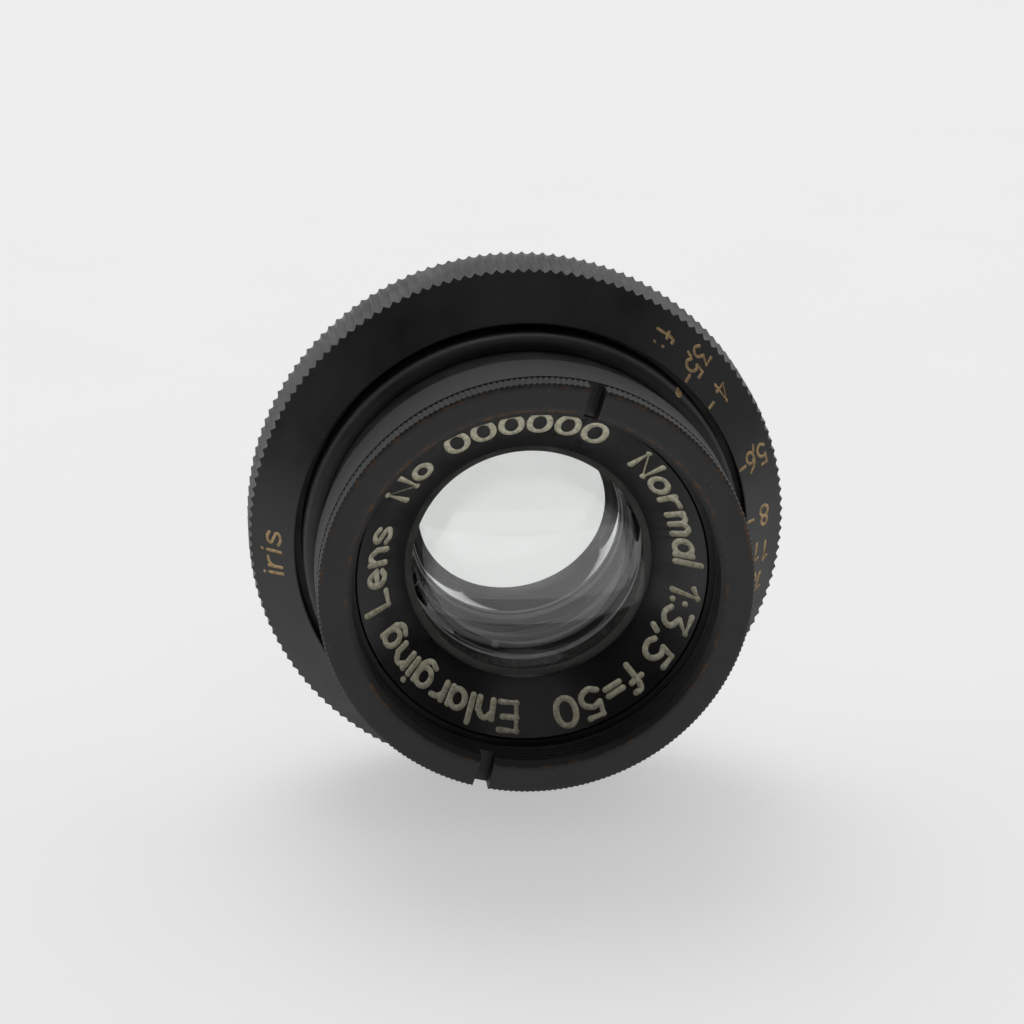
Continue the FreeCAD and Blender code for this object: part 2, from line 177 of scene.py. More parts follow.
# ---- engraving ---------------------------------------------------------------------------
# Each character is a list of strokes on a height of 1.  "s" is straight, "c" curved, "o" closed.
STROKES = {
    "0": [("o", (.3, 1), (0, .5), (.3, 0), (.6, .5))],
    "1": [("s", (.06, .8), (.3, 1), (.3, 0))],
    "3": [("s", (.04, 1), (.56, 1), (.28, .6)), ("c", (.28, .6), (.6, .3), (.3, 0), (.02, .16))],
    "4": [("s", (.42, 0), (.42, 1), (0, .28), (.62, .28))],
    "5": [("s", (.52, 1), (.12, 1), (.07, .56)),
          ("c", (.07, .56), (.32, .64), (.6, .32), (.3, 0), (.02, .14))],
    "6": [("c", (.5, .98), (.14, .7), (.02, .3), (.3, 0), (.58, .3), (.32, .58), (.06, .4))],
    "8": [("o", (.3, 1), (.07, .77), (.3, .54), (.53, .77)), ("o", (.3, .54), (0, .27), (.3, 0), (.6, .27))],
    ",": [("s", (.12, .04), (.02, -.18))],
    ":": [("s", (.06, .1), (.06, .11)), ("s", (.06, .6), (.06, .61))],
    "=": [("s", (0, .3), (.5, .3)), ("s", (0, .56), (.5, .56))],
    "f": [("c", (.46, .98), (.28, .98), (.2, .78)), ("s", (.2, .78), (.2, 0)), ("s", (.02, .62), (.4, .62))],
    "m": [("s", (0, 0), (0, .68)), ("c", (0, .5), (.18, .68), (.34, .5)), ("s", (.34, .5), (.34, 0)),
          ("c", (.34, .5), (.52, .68), (.68, .5)), ("s", (.68, .5), (.68, 0))],
    "n": [("s", (0, 0), (0, .68)), ("c", (0, .46), (.24, .68), (.46, .44)), ("s", (.46, .44), (.46, 0))],
    "o": [("o", (.26, .68), (0, .34), (.26, 0), (.52, .34))],
    "r": [("s", (0, 0), (0, .68)), ("c", (0, .42), (.14, .62), (.34, .67))],
    "a": [("o", (.24, .68), (0, .34), (.24, 0), (.48, .34)), ("s", (.48, .68), (.48, 0))],
    "l": [("s", (0, 0), (0, 1))],
    "e": [("s", (.02, .36), (.5, .36)), ("c", (.5, .36), (.26, .68), (.01, .34), (.26, 0), (.47, .12))],
    "s": [("c", (.43, .57), (.22, .68), (.04, .52), (.24, .35), (.45, .17), (.22, 0), (.01, .11))],
    "i": [("s", (0, 0), (0, .68)), ("s", (0, .94), (0, .95))],
    "g": [("o", (.24, .68), (0, .34), (.24, 0), (.48, .34)), ("s", (.48, .68), (.48, -.02)),
          ("c", (.48, -.02), (.26, -.28), (.02, -.18))],
    "E": [("s", (.5, 1), (0, 1), (0, 0), (.52, 0)), ("s", (0, .52), (.42, .52))],
    "L": [("s", (0, 1), (0, 0), (.48, 0))],
    "N": [("s", (0, 0), (0, 1), (.58, 0), (.58, 1))],
}


def width_of(character):
    return max(x for stroke in STROKES[character] for x, _ in stroke[1:])


def on_surface(radius, clockwise, outline, lift):
    """A point above a turned surface, clockwise from the top as seen from the front."""
    (inner, inner_depth), (outer, outer_depth) = outline
    slope = (outer_depth - inner_depth) / (outer - inner)
    depth = inner_depth + slope * (radius - inner)
    size = math.hypot(1, slope)
    sign = 1 if slope > 0 else -1
    radius += lift * sign * slope / size
    depth -= lift / size
    turn = math.radians(clockwise)
    return Vector((radius * math.sin(turn) * MM, RIM_FRONT + depth * MM, radius * math.cos(turn) * MM))


def letters_round(text, start, base, height, gap, outline, stretch=1.0):
    """Strokes of text that starts at an angle and runs clockwise, with its tops outwards."""
    found = []
    place = 0.0
    middle = base + height / 2 / math.hypot(1, face_slope(outline))
    for character in text:
        wide = 0.35 if character == " " else width_of(character) * stretch
        if character != " ":
            clockwise = start + math.degrees((place + wide / 2) * height / middle)
            found += letter(character, clockwise, base, height, outline, stretch)
        place += wide + gap
    return found


def face_slope(outline):
    return (outline[1][1] - outline[0][1]) / (outline[1][0] - outline[0][0])


def letter(character, clockwise, base, height, outline, stretch):
    half = width_of(character) / 2
    rise = height / math.hypot(1, face_slope(outline))
    found = []
    for kind, *points in STROKES[character]:
        found.append((kind, [
            (base + y * rise, clockwise + math.degrees((x - half) * stretch * height / (base + rise / 2)))
            for x, y in points]))
    return found


def letter_inward(character, clockwise, centre, height, outline):
    """Strokes of a character that reads towards the axis, with its top turned clockwise."""
    half = width_of(character) / 2
    run = height / math.hypot(1, face_slope(outline))
    return [(kind, [
        (centre - (x - half) * run, clockwise + math.degrees((y - 0.5) * height / centre))
        for x, y in points])
        for kind, *points in STROKES[character]]


def cutter_of(strokes, outline, width, depth, material):
    """Round-nosed engraving cuts along the strokes, as one solid."""
    nose = (width * width / 4 + depth * depth) / (2 * depth)
    lift = nose - depth
    curve = bpy.data.curves.new("cuts", "CURVE")
    curve.dimensions = "3D"
    curve.bevel_depth = nose * MM
    curve.bevel_resolution = 2
    curve.resolution_u = 5
    curve.use_fill_caps = True
    ends = []
    for kind, places in strokes:
        points = [on_surface(radius, clockwise, outline, lift) for radius, clockwise in places]
        spline = curve.splines.new("BEZIER")
        spline.bezier_points.add(len(points) - 1)
        for knot, spot in zip(spline.bezier_points, points):
            knot.co = spot
            knot.handle_left_type = knot.handle_right_type = "VECTOR" if kind == "s" else "AUTO"
        spline.use_cyclic_u = kind == "o"
        if kind == "s":
            ends += points
        elif kind == "c":
            ends += [points[0], points[-1]]
    holder = bpy.data.objects.new("cuts", curve)
    bpy.context.scene.collection.objects.link(holder)
    data = bpy.data.meshes.new_from_object(holder.evaluated_get(bpy.context.evaluated_depsgraph_get()))
    bpy.data.objects.remove(holder)
    mesh = bmesh.new()
    mesh.from_mesh(data)
    bmesh.ops.remove_doubles(mesh, verts=mesh.verts[:], dist=1e-7)
    for spot in ends:
        bmesh.ops.create_icosphere(
            mesh, subdivisions=2, radius=nose * MM * 0.998,
            matrix=Matrix.Translation(spot) @ Matrix.Rotation(0.3, 4, "X"))
    bmesh.ops.recalc_face_normals(mesh, faces=mesh.faces[:])
    mesh.to_mesh(data)
    mesh.free()
    data.materials.clear()
    data.materials.append(material)
    return data


def engrave(piece, cutter_mesh):
    cutter = bpy.data.objects.new("cutter", cutter_mesh)
    bpy.context.scene.collection.objects.link(cutter)
    cut = piece.modifiers.new("engraving", "BOOLEAN")
    cut.operation = "DIFFERENCE"
    cut.solver = "EXACT"
    cut.use_self = True
    cut.material_mode = "TRANSFER"
    cut.object = cutter
    data = bpy.data.meshes.new_from_object(piece.evaluated_get(bpy.context.evaluated_depsgraph_get()))
    piece.modifiers.clear()
    old = piece.data
    piece.data = data
    data.name = piece.name
    bpy.data.meshes.remove(old)
    bpy.data.objects.remove(cutter)
    data.set_sharp_from_angle(angle=math.radians(28))
    data.validate()


# ---- finishes ----------------------------------------------------------------------------
class Finish:
    """A material and short ways to add its nodes."""

    def __init__(self, name):
        self.material = bpy.data.materials.new(name)
        self.material.use_nodes = True
        self.tree = self.material.node_tree
        self.shader = self.tree.nodes["Principled BSDF"]
        self.where = self.tree.nodes.new("ShaderNodeTexCoord").outputs["Object"]

    def put(self, socket, value):
        if isinstance(value, bpy.types.NodeSocket):
            self.tree.links.new(value, socket)
        else:
            socket.default_value = value

    def sums(self, operation, first, second=0.0, clamp=False):
        node = self.tree.nodes.new("ShaderNodeMath")
        node.operation = operation
        node.use_clamp = clamp
        self.put(node.inputs[0], first)
        self.put(node.inputs[1], second)
        return node.outputs[0]

    def noise(self, scale, detail=3.0, rough=0.55, where=None):
        node = self.tree.nodes.new("ShaderNodeTexNoise")
        self.put(node.inputs["Vector"], where or self.where)
        node.inputs["Scale"].default_value = scale
        node.inputs["Detail"].default_value = detail
        node.inputs["Roughness"].default_value = rough
        return node.outputs["Fac"]

    def specks(self, scale, size):
        """Sparse round specks, 1 on a speck."""
        node = self.tree.nodes.new("ShaderNodeTexVoronoi")
        self.put(node.inputs["Vector"], self.where)
        node.inputs["Scale"].default_value = scale
        near = self.sums("LESS_THAN", node.outputs["Distance"], size)
        split = self.tree.nodes.new("ShaderNodeSeparateColor")
        self.put(split.inputs[0], node.outputs["Color"])
        return self.sums("MULTIPLY", near, self.sums("GREATER_THAN", split.outputs[0], 0.72))

    def turned(self):
        """Radius and depth only, so that a pattern runs round the axis."""
        split = self.tree.nodes.new("ShaderNodeSeparateXYZ")
        self.put(split.inputs[0], self.where)
        squares = self.sums(
            "ADD", self.sums("MULTIPLY", split.outputs[0], split.outputs[0]),
            self.sums("MULTIPLY", split.outputs[2], split.outputs[2]))
        joined = self.tree.nodes.new("ShaderNodeCombineXYZ")
        self.put(joined.inputs[0], self.sums("SQRT", squares))
        self.put(joined.inputs[1], split.outputs[1])
        return joined.outputs[0]

    def spread(self, value, low, high, start=0.0, end=1.0):
        node = self.tree.nodes.new("ShaderNodeMapRange")
        self.put(node.inputs["Value"], value)
        for name, number in (("From Min", low), ("From Max", high), ("To Min", start), ("To Max", end)):
            node.inputs[name].default_value = number
        return node.outputs["Result"]

    def blend(self, share, first, second):
        node = self.tree.nodes.new("ShaderNodeMix")
        node.data_type = "RGBA"
        self.put(node.inputs[0], share)
        self.put(node.inputs[6], first)
        self.put(node.inputs[7], second)
        return node.outputs[2]

    def marked(self, name):
        node = self.tree.nodes.new("ShaderNodeAttribute")
        node.attribute_name = name
        return node.outputs["Fac"]

    def bump(self, height, distance, strength=1.0, below=None):
        node = self.tree.nodes.new("ShaderNodeBump")
        self.put(node.inputs["Height"], height)
        node.inputs["Distance"].default_value = distance
        node.inputs["Strength"].default_value = strength
        if below is not None:
            self.put(node.inputs["Normal"], below)
        return node.outputs["Normal"]

    def set(self, **values):
        for name, value in values.items():
            self.put(self.shader.inputs[name.replace("_", " ")], value)
        return self.material


def black_lacquer(name, shade=0.008, rough=(0.3, 0.46), wear=None, lines=0.0000012):
    """Satin black lacquer on brass, with turning marks, dust and worn edges."""
    finish = Finish(name)
    patches = finish.noise(420, 4, 0.6)
    grain = finish.noise(9000, 2, 0.5)
    marks = finish.noise(5200, 3, 0.7, finish.turned())
    dark = (shade, shade, shade * 1.06, 1)
    light = (shade * 2.1, shade * 2.0, shade * 2.0, 1)
    colour = finish.blend(finish.spread(patches, 0.35, 0.75), dark, light)
    dust = finish.specks(2300, 0.06)
    colour = finish.blend(finish.sums("MULTIPLY", dust, 0.5), colour, (0.3, 0.29, 0.28, 1))
    roughness = finish.spread(patches, 0.3, 0.7, rough[0], rough[1])
    metal = 0.0
    if wear:
        edge = finish.sums(
            "MULTIPLY", finish.marked("worn"), finish.spread(finish.noise(1500, 5, 0.7), 0.3, 0.62))
        share = finish.spread(edge, 0.55, 0.95)
        colour = finish.blend(share, colour, wear)
        metal = finish.sums("MULTIPLY", share, 0.7)
    normal = finish.bump(grain, 0.000003, 0.6)
    normal = finish.bump(marks, lines, 1.0, normal)
    finish.set(Base_Color=colour, Roughness=roughness, Metallic=metal, Normal=normal)
    finish.shader.inputs["Specular IOR Level"].default_value = 0.5
    return finish.material


def dull_black(name, shade=0.02, rough=0.6):
    """Chemically blackened brass."""
    finish = Finish(name)
    patches = finish.noise(900, 4, 0.6)
    colour = finish.blend(patches, (shade, shade, shade, 1), (shade * 2, shade * 1.9, shade * 1.7, 1))
    roughness = finish.spread(patches, 0.3, 0.7, rough - 0.08, rough + 0.1)
    normal = finish.bump(finish.noise(9000, 2), 0.000004, 0.7)
    return finish.set(Base_Color=colour, Roughness=roughness, Normal=normal, Metallic=0.0)


def bare_metal(name, colour, rough=0.3, brushed=4000):
    finish = Finish(name)
    marks = finish.noise(brushed, 3, 0.7, finish.turned())
    tint = tuple(0.7 * part for part in colour[:3]) + (1,)
    roughness = finish.spread(marks, 0.3, 0.7, rough - 0.08, rough + 0.12)
    normal = finish.bump(marks, 0.000002)
    return finish.set(
        Base_Color=finish.blend(finish.noise(700, 4), colour, tint), Roughness=roughness,
        Normal=normal, Metallic=1.0)


def glass(name, ior=1.6):
    finish = Finish(name)
    smear = finish.noise(160, 4, 0.6)
    dust = finish.specks(900, 0.035)
    roughness = finish.sums(
        "ADD", finish.spread(smear, 0.55, 0.85, 0.0, 0.01), finish.sums("MULTIPLY", dust, 0.25))
    finish.set(Base_Color=(0.985, 0.995, 0.985, 1), Roughness=roughness)
    finish.shader.inputs["Transmission Weight"].default_value = 1.0
    finish.shader.inputs["IOR"].default_value = ior
    return finish.material


rim_lacquer = black_lacquer("rim_lacquer", rough=(0.42, 0.56), wear=(0.10, 0.055, 0.03, 1))
name_lacquer = black_lacquer("name_ring_lacquer", shade=0.006, rough=(0.26, 0.38))
barrel_lacquer = black_lacquer("barrel_lacquer", rough=(0.3, 0.42))
# the collar's black is lighter than the other lacquers: partly painted light for the bright band its top
# reflects
collar_lacquer_painted_light = black_lacquer("collar_lacquer_painted_light", shade=0.012, rough=(0.42, 0.55))
grip_lacquer = black_lacquer("ring_lacquer", rough=(0.36, 0.52), wear=(0.09, 0.085, 0.08, 1))
scale_lacquer = black_lacquer("scale_face_lacquer", rough=(0.36, 0.5))
inner_black = dull_black("blackened_brass", shade=0.05, rough=0.45)
# painted light: a grey lighter than the blackened brass, standing for the light from behind on the inner
# walls
inner_wall_painted_light = dull_black("inner_wall_painted_light", shade=0.10, rough=0.4)
leaf_steel = bare_metal("blued_leaf_steel", (0.06, 0.065, 0.08, 1), 0.45)
washer_bronze = bare_metal("washer_bronze", (0.55, 0.36, 0.17, 1), 0.3)
screw_steel = bare_metal("screw_steel", (0.5, 0.5, 0.5, 1), 0.25)
lens_glass = glass("lens_glass")


def engraving_fill(name, colour, dark):
    """Old paint in an engraved groove, uneven and a little dirty."""
    finish = Finish(name)
    dirt = finish.spread(finish.noise(3200, 4, 0.65), 0.42, 0.72)
    shade = finish.blend(dirt, colour, dark)
    normal = finish.bump(finish.noise(14000, 3, 0.6), 0.00001, 0.8)
    return finish.set(Base_Color=shade, Roughness=0.62, Normal=normal)


cream_fill = engraving_fill("cream_engraving", (0.74, 0.71, 0.56, 1), (0.36, 0.34, 0.26, 1))
gold_fill = engraving_fill("gold_engraving", (0.66, 0.46, 0.23, 1), (0.26, 0.18, 0.09, 1))


# ---- glasses' sizes ----------------------------------------------------------------------
FRONT_CURVE = 15.6
FRONT_VERTEX = 3.03
FRONT_BACK_CURVE = 250.0
FRONT_BACK_VERTEX = 6.23
FRONT_HALF = 8.3
MIDDLE_FRONT_CURVE = 31.0
MIDDLE_REAR_CURVE = 14.8
MIDDLE_THICKNESS = 0.9
MIDDLE_BORDER = 0.7
PAIR_FRONT_CURVE = 66.0
PAIR_REAR_CURVE = 20.7
PAIR_HALF = 7.5
FILTER_PITCH = 0.5
MOUNT_PITCH = 0.75
MOUNT_GROOVE = 0.4


# ---- front cell --------------------------------------------------------------------------
MIDDLE = radius_of("middle_element")
middle_edge = front_of("middle_element")
GLASS_LEDGE = MIDDLE - 0.3
front_rear = rear_of("front_element")
name_rear = rear_of("name_ring")
cell_end = rear_of("front_cell")
tube = 12.37
thread_rows = [0.35 + FILTER_PITCH / 6 * step for step in range(28)]
rim_back = [
    (FILTER_BORE, NOTCH_DEPTH)] + [(FILTER_BORE, row) for row in thread_rows if row > NOTCH_DEPTH + 0.02] + [
    (FILTER_BORE, 2.6), (FILTER_BORE - 0.35, 2.6), (FILTER_BORE - 0.35, name_rear + 0.03),
    (8.33, name_rear + 0.03), (8.33, front_rear - 0.08), (GLASS_LEDGE, front_rear - 0.08),
    (GLASS_LEDGE, middle_edge - 0.03), (MIDDLE + 0.03, middle_edge - 0.03),
    (MIDDLE + 0.03, cell_end), (tube, cell_end), (tube, FLANGE_REAR),
    (RIM - 0.1, FLANGE_REAR), (RIM, FLANGE_REAR - 0.1), (RIM, 3.2), (RIM, 1.5),
    (RIM - 0.06, 1.46), (RIM - 0.06, 1.36), (RIM, 1.32), (RIM, NOTCH_DEPTH)]
rim_front = [
    (FILTER_BORE, NOTCH_DEPTH)] + [
    (FILTER_BORE, row) for row in reversed(thread_rows) if row < NOTCH_DEPTH - 0.02] + [
    (FILTER_BORE + 0.3, 0.05), (FILTER_BORE + 0.4, 0.0), (FILTER_BORE + 0.75, 0.0), (RIM - 0.5, 0.0),
    (RIM - 0.22, 0.0), (RIM - 0.12, 0.03),
    (RIM, 0.13), (RIM, 0.7), (RIM, NOTCH_DEPTH)]
COIN_TEETH = 240
notch_half = math.degrees(math.asin(NOTCH_WIDTH / 2 / RIM))


def shape_rim(mesh):
    """Filter thread inside, coin edge outside, and where the lacquer wears."""
    worn = mesh.verts.layers.float.new("worn")
    for vert in mesh.verts:
        radius, depth = radius_and_depth(vert)
        angle = math.atan2(vert.co.z, vert.co.x)
        if abs(radius - FILTER_BORE) < 0.01 and 0.34 < depth < 2.5:
            phase = (depth / FILTER_PITCH - angle / math.tau) % 1.0
            ease = min(1.0, (depth - 0.35) / 0.2, (2.45 - depth) / 0.2)
            set_radius(vert, FILTER_BORE + 0.2 * max(0.0, ease) * (1 - abs(2 * phase - 1)))
        if radius > RIM - 0.01 and 0.1 < depth < 1.31:
            phase = (angle / math.tau * COIN_TEETH) % 1.0
            set_radius(vert, RIM - 0.07 * (1 - math.cos(math.tau * phase)) / 2)
        edge = radius < FILTER_BORE + 0.45 or RIM - 0.23 < radius
        vert[worn] = max(0.0, 1 - depth / 0.3) if edge else 0.0
        if edge and math.sin(angle - 0.2) < -0.1 and radius > FILTER_BORE + 0.5:
            vert[worn] *= 0.6


def rim_arc(start, end, steps):
    """The rim's front between the two spanner notches."""
    mesh = outline_mesh(rim_front)
    mesh.faces.new(mesh.verts[:])
    turn = Matrix.Rotation(-math.radians(start), 3, "Y")
    bmesh.ops.rotate(mesh, verts=mesh.verts[:], cent=(0, 0, 0), matrix=turn)
    spin_part(mesh, steps, math.radians(end - start))
    close_up(mesh)
    shape_rim(mesh)
    return mesh


rim = turned_part(rim_back, 960)
shape_rim(rim)
for start in (NOTCH_ANGLE, NOTCH_ANGLE + 180):
    arc = rim_arc(start + notch_half, start + 180 - notch_half, 470)
    data = bpy.data.meshes.new("arc")
    arc.to_mesh(data)
    arc.free()
    rim.from_mesh(data)
    bpy.data.meshes.remove(data)
line_walls(finish_piece(rim, "front_rim", "lens", rim_lacquer, ["front_cell"]), 8.5)


# ---- name ring ---------------------------------------------------------------------------
CLEAR = 8.05
lip_depth = FRONT_VERTEX + sag(FRONT_CURVE, CLEAR) - 0.03
name_front = front_of("name_ring")
name_outer = radius_of("name_ring")
name_outline = [
    (CLEAR, lip_depth), (CLEAR + 0.05, lip_depth - 0.07), (name_outer - 0.1, name_front),
    (name_outer, name_front + 0.1), (name_outer, name_rear), (8.3, name_rear)]
name_piece = finish_piece(
    turned_part(name_outline, 512), "name_ring_cone", "lens", name_lacquer, ["name_ring"])
NAME_FACE = ((CLEAR + 0.05, lip_depth - 0.07), (name_outer - 0.1, name_front))
words = []
NAME_WORDS = (
    ("No 000000", -58.5), ("Normal", 41.5), ("1:3,5", 96.0), ("f=50", 134.5), ("Enlarging Lens", -175.5))
for text, start in NAME_WORDS:
    words += letters_round(text, start, 9.3, 1.9, 0.27, NAME_FACE, 1.12)
engrave(name_piece, cutter_of(words, NAME_FACE, 0.34, 0.08, cream_fill))


# ---- glasses -----------------------------------------------------------------------------
def glass_part(outline, name, nodes):
    mesh = outline_mesh(outline, closed=False)
    spin_round(mesh, 160)
    finish_piece(mesh, name, "lens", lens_glass, nodes, 35)


glass_part(
    arc_points(FRONT_CURVE, FRONT_VERTEX, FRONT_HALF)
    + arc_points(FRONT_BACK_CURVE, FRONT_BACK_VERTEX, FRONT_HALF, hollow=True)[::-1],
    "front_glass", ["front_element"])
middle_front = middle_edge + sag(MIDDLE_FRONT_CURVE, MIDDLE)
middle_rear = middle_front + MIDDLE_THICKNESS
middle_hollow = MIDDLE - MIDDLE_BORDER
glass_part(
    arc_points(MIDDLE_FRONT_CURVE, middle_front, MIDDLE, hollow=True)
    + [(MIDDLE, middle_rear + sag(MIDDLE_REAR_CURVE, middle_hollow))]
    + arc_points(MIDDLE_REAR_CURVE, middle_rear, middle_hollow)[::-1], "middle_glass", ["middle_element"])
pair_front = front_of("rear_flint") + sag(PAIR_FRONT_CURVE, PAIR_HALF)
pair_rear = rear_of("rear_crown")
glass_part(
    arc_points(PAIR_FRONT_CURVE, pair_front, PAIR_HALF, hollow=True)
    + arc_points(PAIR_REAR_CURVE, pair_rear, PAIR_HALF, hollow=True)[::-1],
    "rear_pair_glass", ["rear_flint", "rear_crown"])


# ---- barrel ------------------------------------------------------------------------------
LAND = NECK + 0.75
MOUNT = 12.0
CHAMBER = LAND - 3.2
step_front = front_of("iris_base")
step_rear = rear_of("iris_base") + 0.01
cam_end = rear_of("cam_ring")
mount_rows = [SEAT + MOUNT_PITCH / 8 * step for step in range(1, 40)]
barrel_outline = [
    (tube + 0.03, 5.05), (NECK, 5.05), (NECK, COLLAR_REAR), (LAND, COLLAR_REAR), (LAND, SEAT - 1.3),
    (FLANGE - 0.15, SEAT - 1.3), (FLANGE, SEAT - 1.15), (FLANGE, SEAT - 0.15), (FLANGE - 0.15, SEAT),
    (MOUNT, SEAT)] + [(MOUNT, row) for row in mount_rows if row < BARREL_END - 0.3] + [
    (MOUNT, BARREL_END - 0.3), (MOUNT - 0.3, BARREL_END), (9.8, BARREL_END), (9.8, cam_end + 0.5),
    (9.2, cam_end + 0.5), (9.2, cam_end + 0.05), (CHAMBER, cam_end + 0.05), (CHAMBER, step_rear),
    (CHAMBER + 0.6, step_rear), (CHAMBER + 0.6, step_front), (tube + 0.03, step_front)]
barrel = turned_part(barrel_outline, 256)
for vert in barrel.verts:
    radius, depth = radius_and_depth(vert)
    if abs(radius - MOUNT) < 0.01 and SEAT + 0.01 < depth < BARREL_END - 0.31:
        phase = (depth / MOUNT_PITCH - math.atan2(vert.co.z, vert.co.x) / math.tau) % 1.0
        ease = min(1.0, (depth - SEAT) / 0.3)
        set_radius(vert, MOUNT - MOUNT_GROOVE * ease * (1 - abs(2 * phase - 1)))
finish_piece(barrel, "barrel_body", "lens", barrel_lacquer, ["main_barrel"])

collar_outline = [
    (NECK + 0.03, COLLAR_FRONT), (NECK + 0.3, COLLAR_FRONT), (NECK + 0.56, COLLAR_FRONT + 0.05),
    (NECK + 0.75, COLLAR_FRONT + 0.15), (NECK + 0.9, COLLAR_FRONT + 0.32), (NECK + 1.0, COLLAR_FRONT + 0.55),
    (COLLAR, COLLAR_FRONT + 0.85), (COLLAR, COLLAR_REAR), (NECK + 0.03, COLLAR_REAR)]
collar_piece = finish_piece(
    turned_part(collar_outline, 320), "collar_bead", "lens", collar_lacquer_painted_light, ["index_collar"])
INDEX = 43.9
BEAD_FACE = ((NECK + 0.75, COLLAR_FRONT + 0.15), (COLLAR, COLLAR_FRONT + 0.85))
engrave(collar_piece, cutter_of(
    [("s", [(NECK + 0.8, INDEX), (COLLAR + 0.02, INDEX)])], BEAD_FACE, 0.5, 0.12, gold_fill))


# ---- aperture ring -----------------------------------------------------------------------
TEETH = 160
TOOTH = 0.22
face_inner = LIP + 0.12
face_end = LIP_FRONT + (KNURL - face_inner) * FACE_SLOPE
RING_BORE = LAND + 0.05
knurl_rows = [face_end + (RING_REAR - 0.25 - face_end) * step / 6 for step in range(7)]
grip_inner = KNURL - 0.5
grip_front = LIP_FRONT + (grip_inner - face_inner) * FACE_SLOPE
inner_wall = LIP + 0.35
ring_outline = [
    (grip_inner, grip_front)] + [
    (KNURL, row) for row in knurl_rows] + [
    (KNURL - 0.25, RING_REAR), (RING_BORE + 2.1, RING_REAR), (RING_BORE + 2.1, RING_REAR - 0.4),
    (RING_BORE, RING_REAR - 0.4), (RING_BORE, COLLAR_REAR + 0.05), (inner_wall, COLLAR_REAR + 0.05),
    (grip_inner, grip_front + 0.6)]
scale_outline = [
    (LIP, COLLAR_REAR + 0.05), (LIP, LIP_FRONT + 0.04), (LIP + 0.04, LIP_FRONT), (face_inner, LIP_FRONT),
    (grip_inner, grip_front), (grip_inner, grip_front + 0.6), (inner_wall, COLLAR_REAR + 0.05)]
ring = turned_part(ring_outline, TEETH * 8)
worn = ring.verts.layers.float.new("worn")
for vert in ring.verts:
    radius, depth = radius_and_depth(vert)
    if radius > KNURL - 0.02:
        phase = (math.atan2(vert.co.z, vert.co.x) / math.tau * TEETH) % 1.0
        from_crest = abs(phase - 0.5) * 2
        drop = TOOTH * (1 - (1 - from_crest) ** 1.35)
        set_radius(vert, KNURL - drop)
        if abs(depth - face_end) < 0.01:
            vert.co.y -= drop * FACE_SLOPE * MM
        vert[worn] = max(0.0, 1 - from_crest * 1.6)
grip_piece = finish_piece(
    ring, "knurled_grip", "aperture_control", grip_lacquer, ["aperture_ring"])

SCREW_ANGLE = 305.0
SCREW_HOLE = 0.8
screw_low, screw_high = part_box("drive_screw")
screw_y = (screw_low[1] + screw_high[1]) / 2
hole = bmesh.new()
outward = Vector((math.cos(math.radians(SCREW_ANGLE)), 0, math.sin(math.radians(SCREW_ANGLE))))
reach = (KNURL + 1 - LAND) * MM
bmesh.ops.create_cone(
    hole, cap_ends=True, segments=40, radius1=SCREW_HOLE * MM, radius2=SCREW_HOLE * MM, depth=reach,
    matrix=Matrix.Translation(outward * (LAND * MM + reach / 2) + Vector((0, screw_y, 0)))
    @ outward.to_track_quat("Z", "Y").to_matrix().to_4x4())
hole_data = bpy.data.meshes.new("screw_hole")
hole.to_mesh(hole_data)
hole.free()
hole_data.materials.append(grip_lacquer)
engrave(grip_piece, hole_data)
ring_piece = finish_piece(
    turned_part(scale_outline, 640), "scale_face", "aperture_control", scale_lacquer)
SCALE_FACE = ((face_inner, LIP_FRONT), (grip_inner, grip_front))
DIGIT = 1.33
ONE_DIGIT = (16.45,)
TWO_DIGITS = (16.8, 16.1)
THREE_MARKS = (17.0, 16.52, 16.1)
FULL_OPENING = 7.0
LARGEST_STOP = 3.5
STUD_CIRCLE = CHAMBER - 1.3
LEAF_RATIO = 0.555027


def stop_angle(stop):
    """Turn of the ring from its largest opening to a stop, in degrees."""
    half = FULL_OPENING * LARGEST_STOP / stop
    return math.degrees(2 * math.asin((FULL_OPENING - half) / (2 * STUD_CIRCLE))) / LEAF_RATIO


marks = letter_inward("f", INDEX - 9.9, 16.6, DIGIT, SCALE_FACE) + letter_inward(
    ":", INDEX - 9.9, 15.95, DIGIT, SCALE_FACE)
for stop, digits in ((3.5, "3,5"), (4, "4"), (5.6, "5,6"), (8, "8"), (11, "11"), (16, "16")):
    clockwise = INDEX + stop_angle(stop)
    marks.append(("s", [(LIP + 0.22, clockwise), (LIP + 0.62, clockwise)]))
    for digit, centre in zip(digits, (ONE_DIGIT, TWO_DIGITS, THREE_MARKS)[len(digits) - 1]):
        marks += letter_inward(digit, clockwise, centre, DIGIT, SCALE_FACE)
marks += letters_round("iris", -98.0, 15.9, 1.7, 0.28, SCALE_FACE, 1.1)
engrave(ring_piece, cutter_of(marks, SCALE_FACE, 0.24, 0.06, gold_fill))


# ---- rear cell ---------------------------------------------------------------------------
rear_rim = 10.9
rear_front = front_of("rear_cell")
rear_end = rear_of("rear_cell")
ledge = rear_front + 0.3
lock_rear = rear_of("rear_retaining_ring")
rear_outline = [
    (7.0, rear_front), (9.2, rear_front), (9.2, cam_end + 0.55), (9.77, cam_end + 0.55),
    (9.77, BARREL_END + 0.05), (rear_rim - 0.08, BARREL_END + 0.05), (rear_rim, BARREL_END + 0.13),
    (rear_rim, rear_end - 0.2), (rear_rim - 0.2, rear_end), (9.4, rear_end), (8.0, lock_rear + 0.3),
    (8.0, lock_rear - 1.13), (7.53, lock_rear - 1.13), (7.53, ledge), (7.0, ledge)]
line_walls(finish_piece(
    turned_part(rear_outline, 256), "rear_holder", "lens", barrel_lacquer, ["rear_cell"]), 7.9)

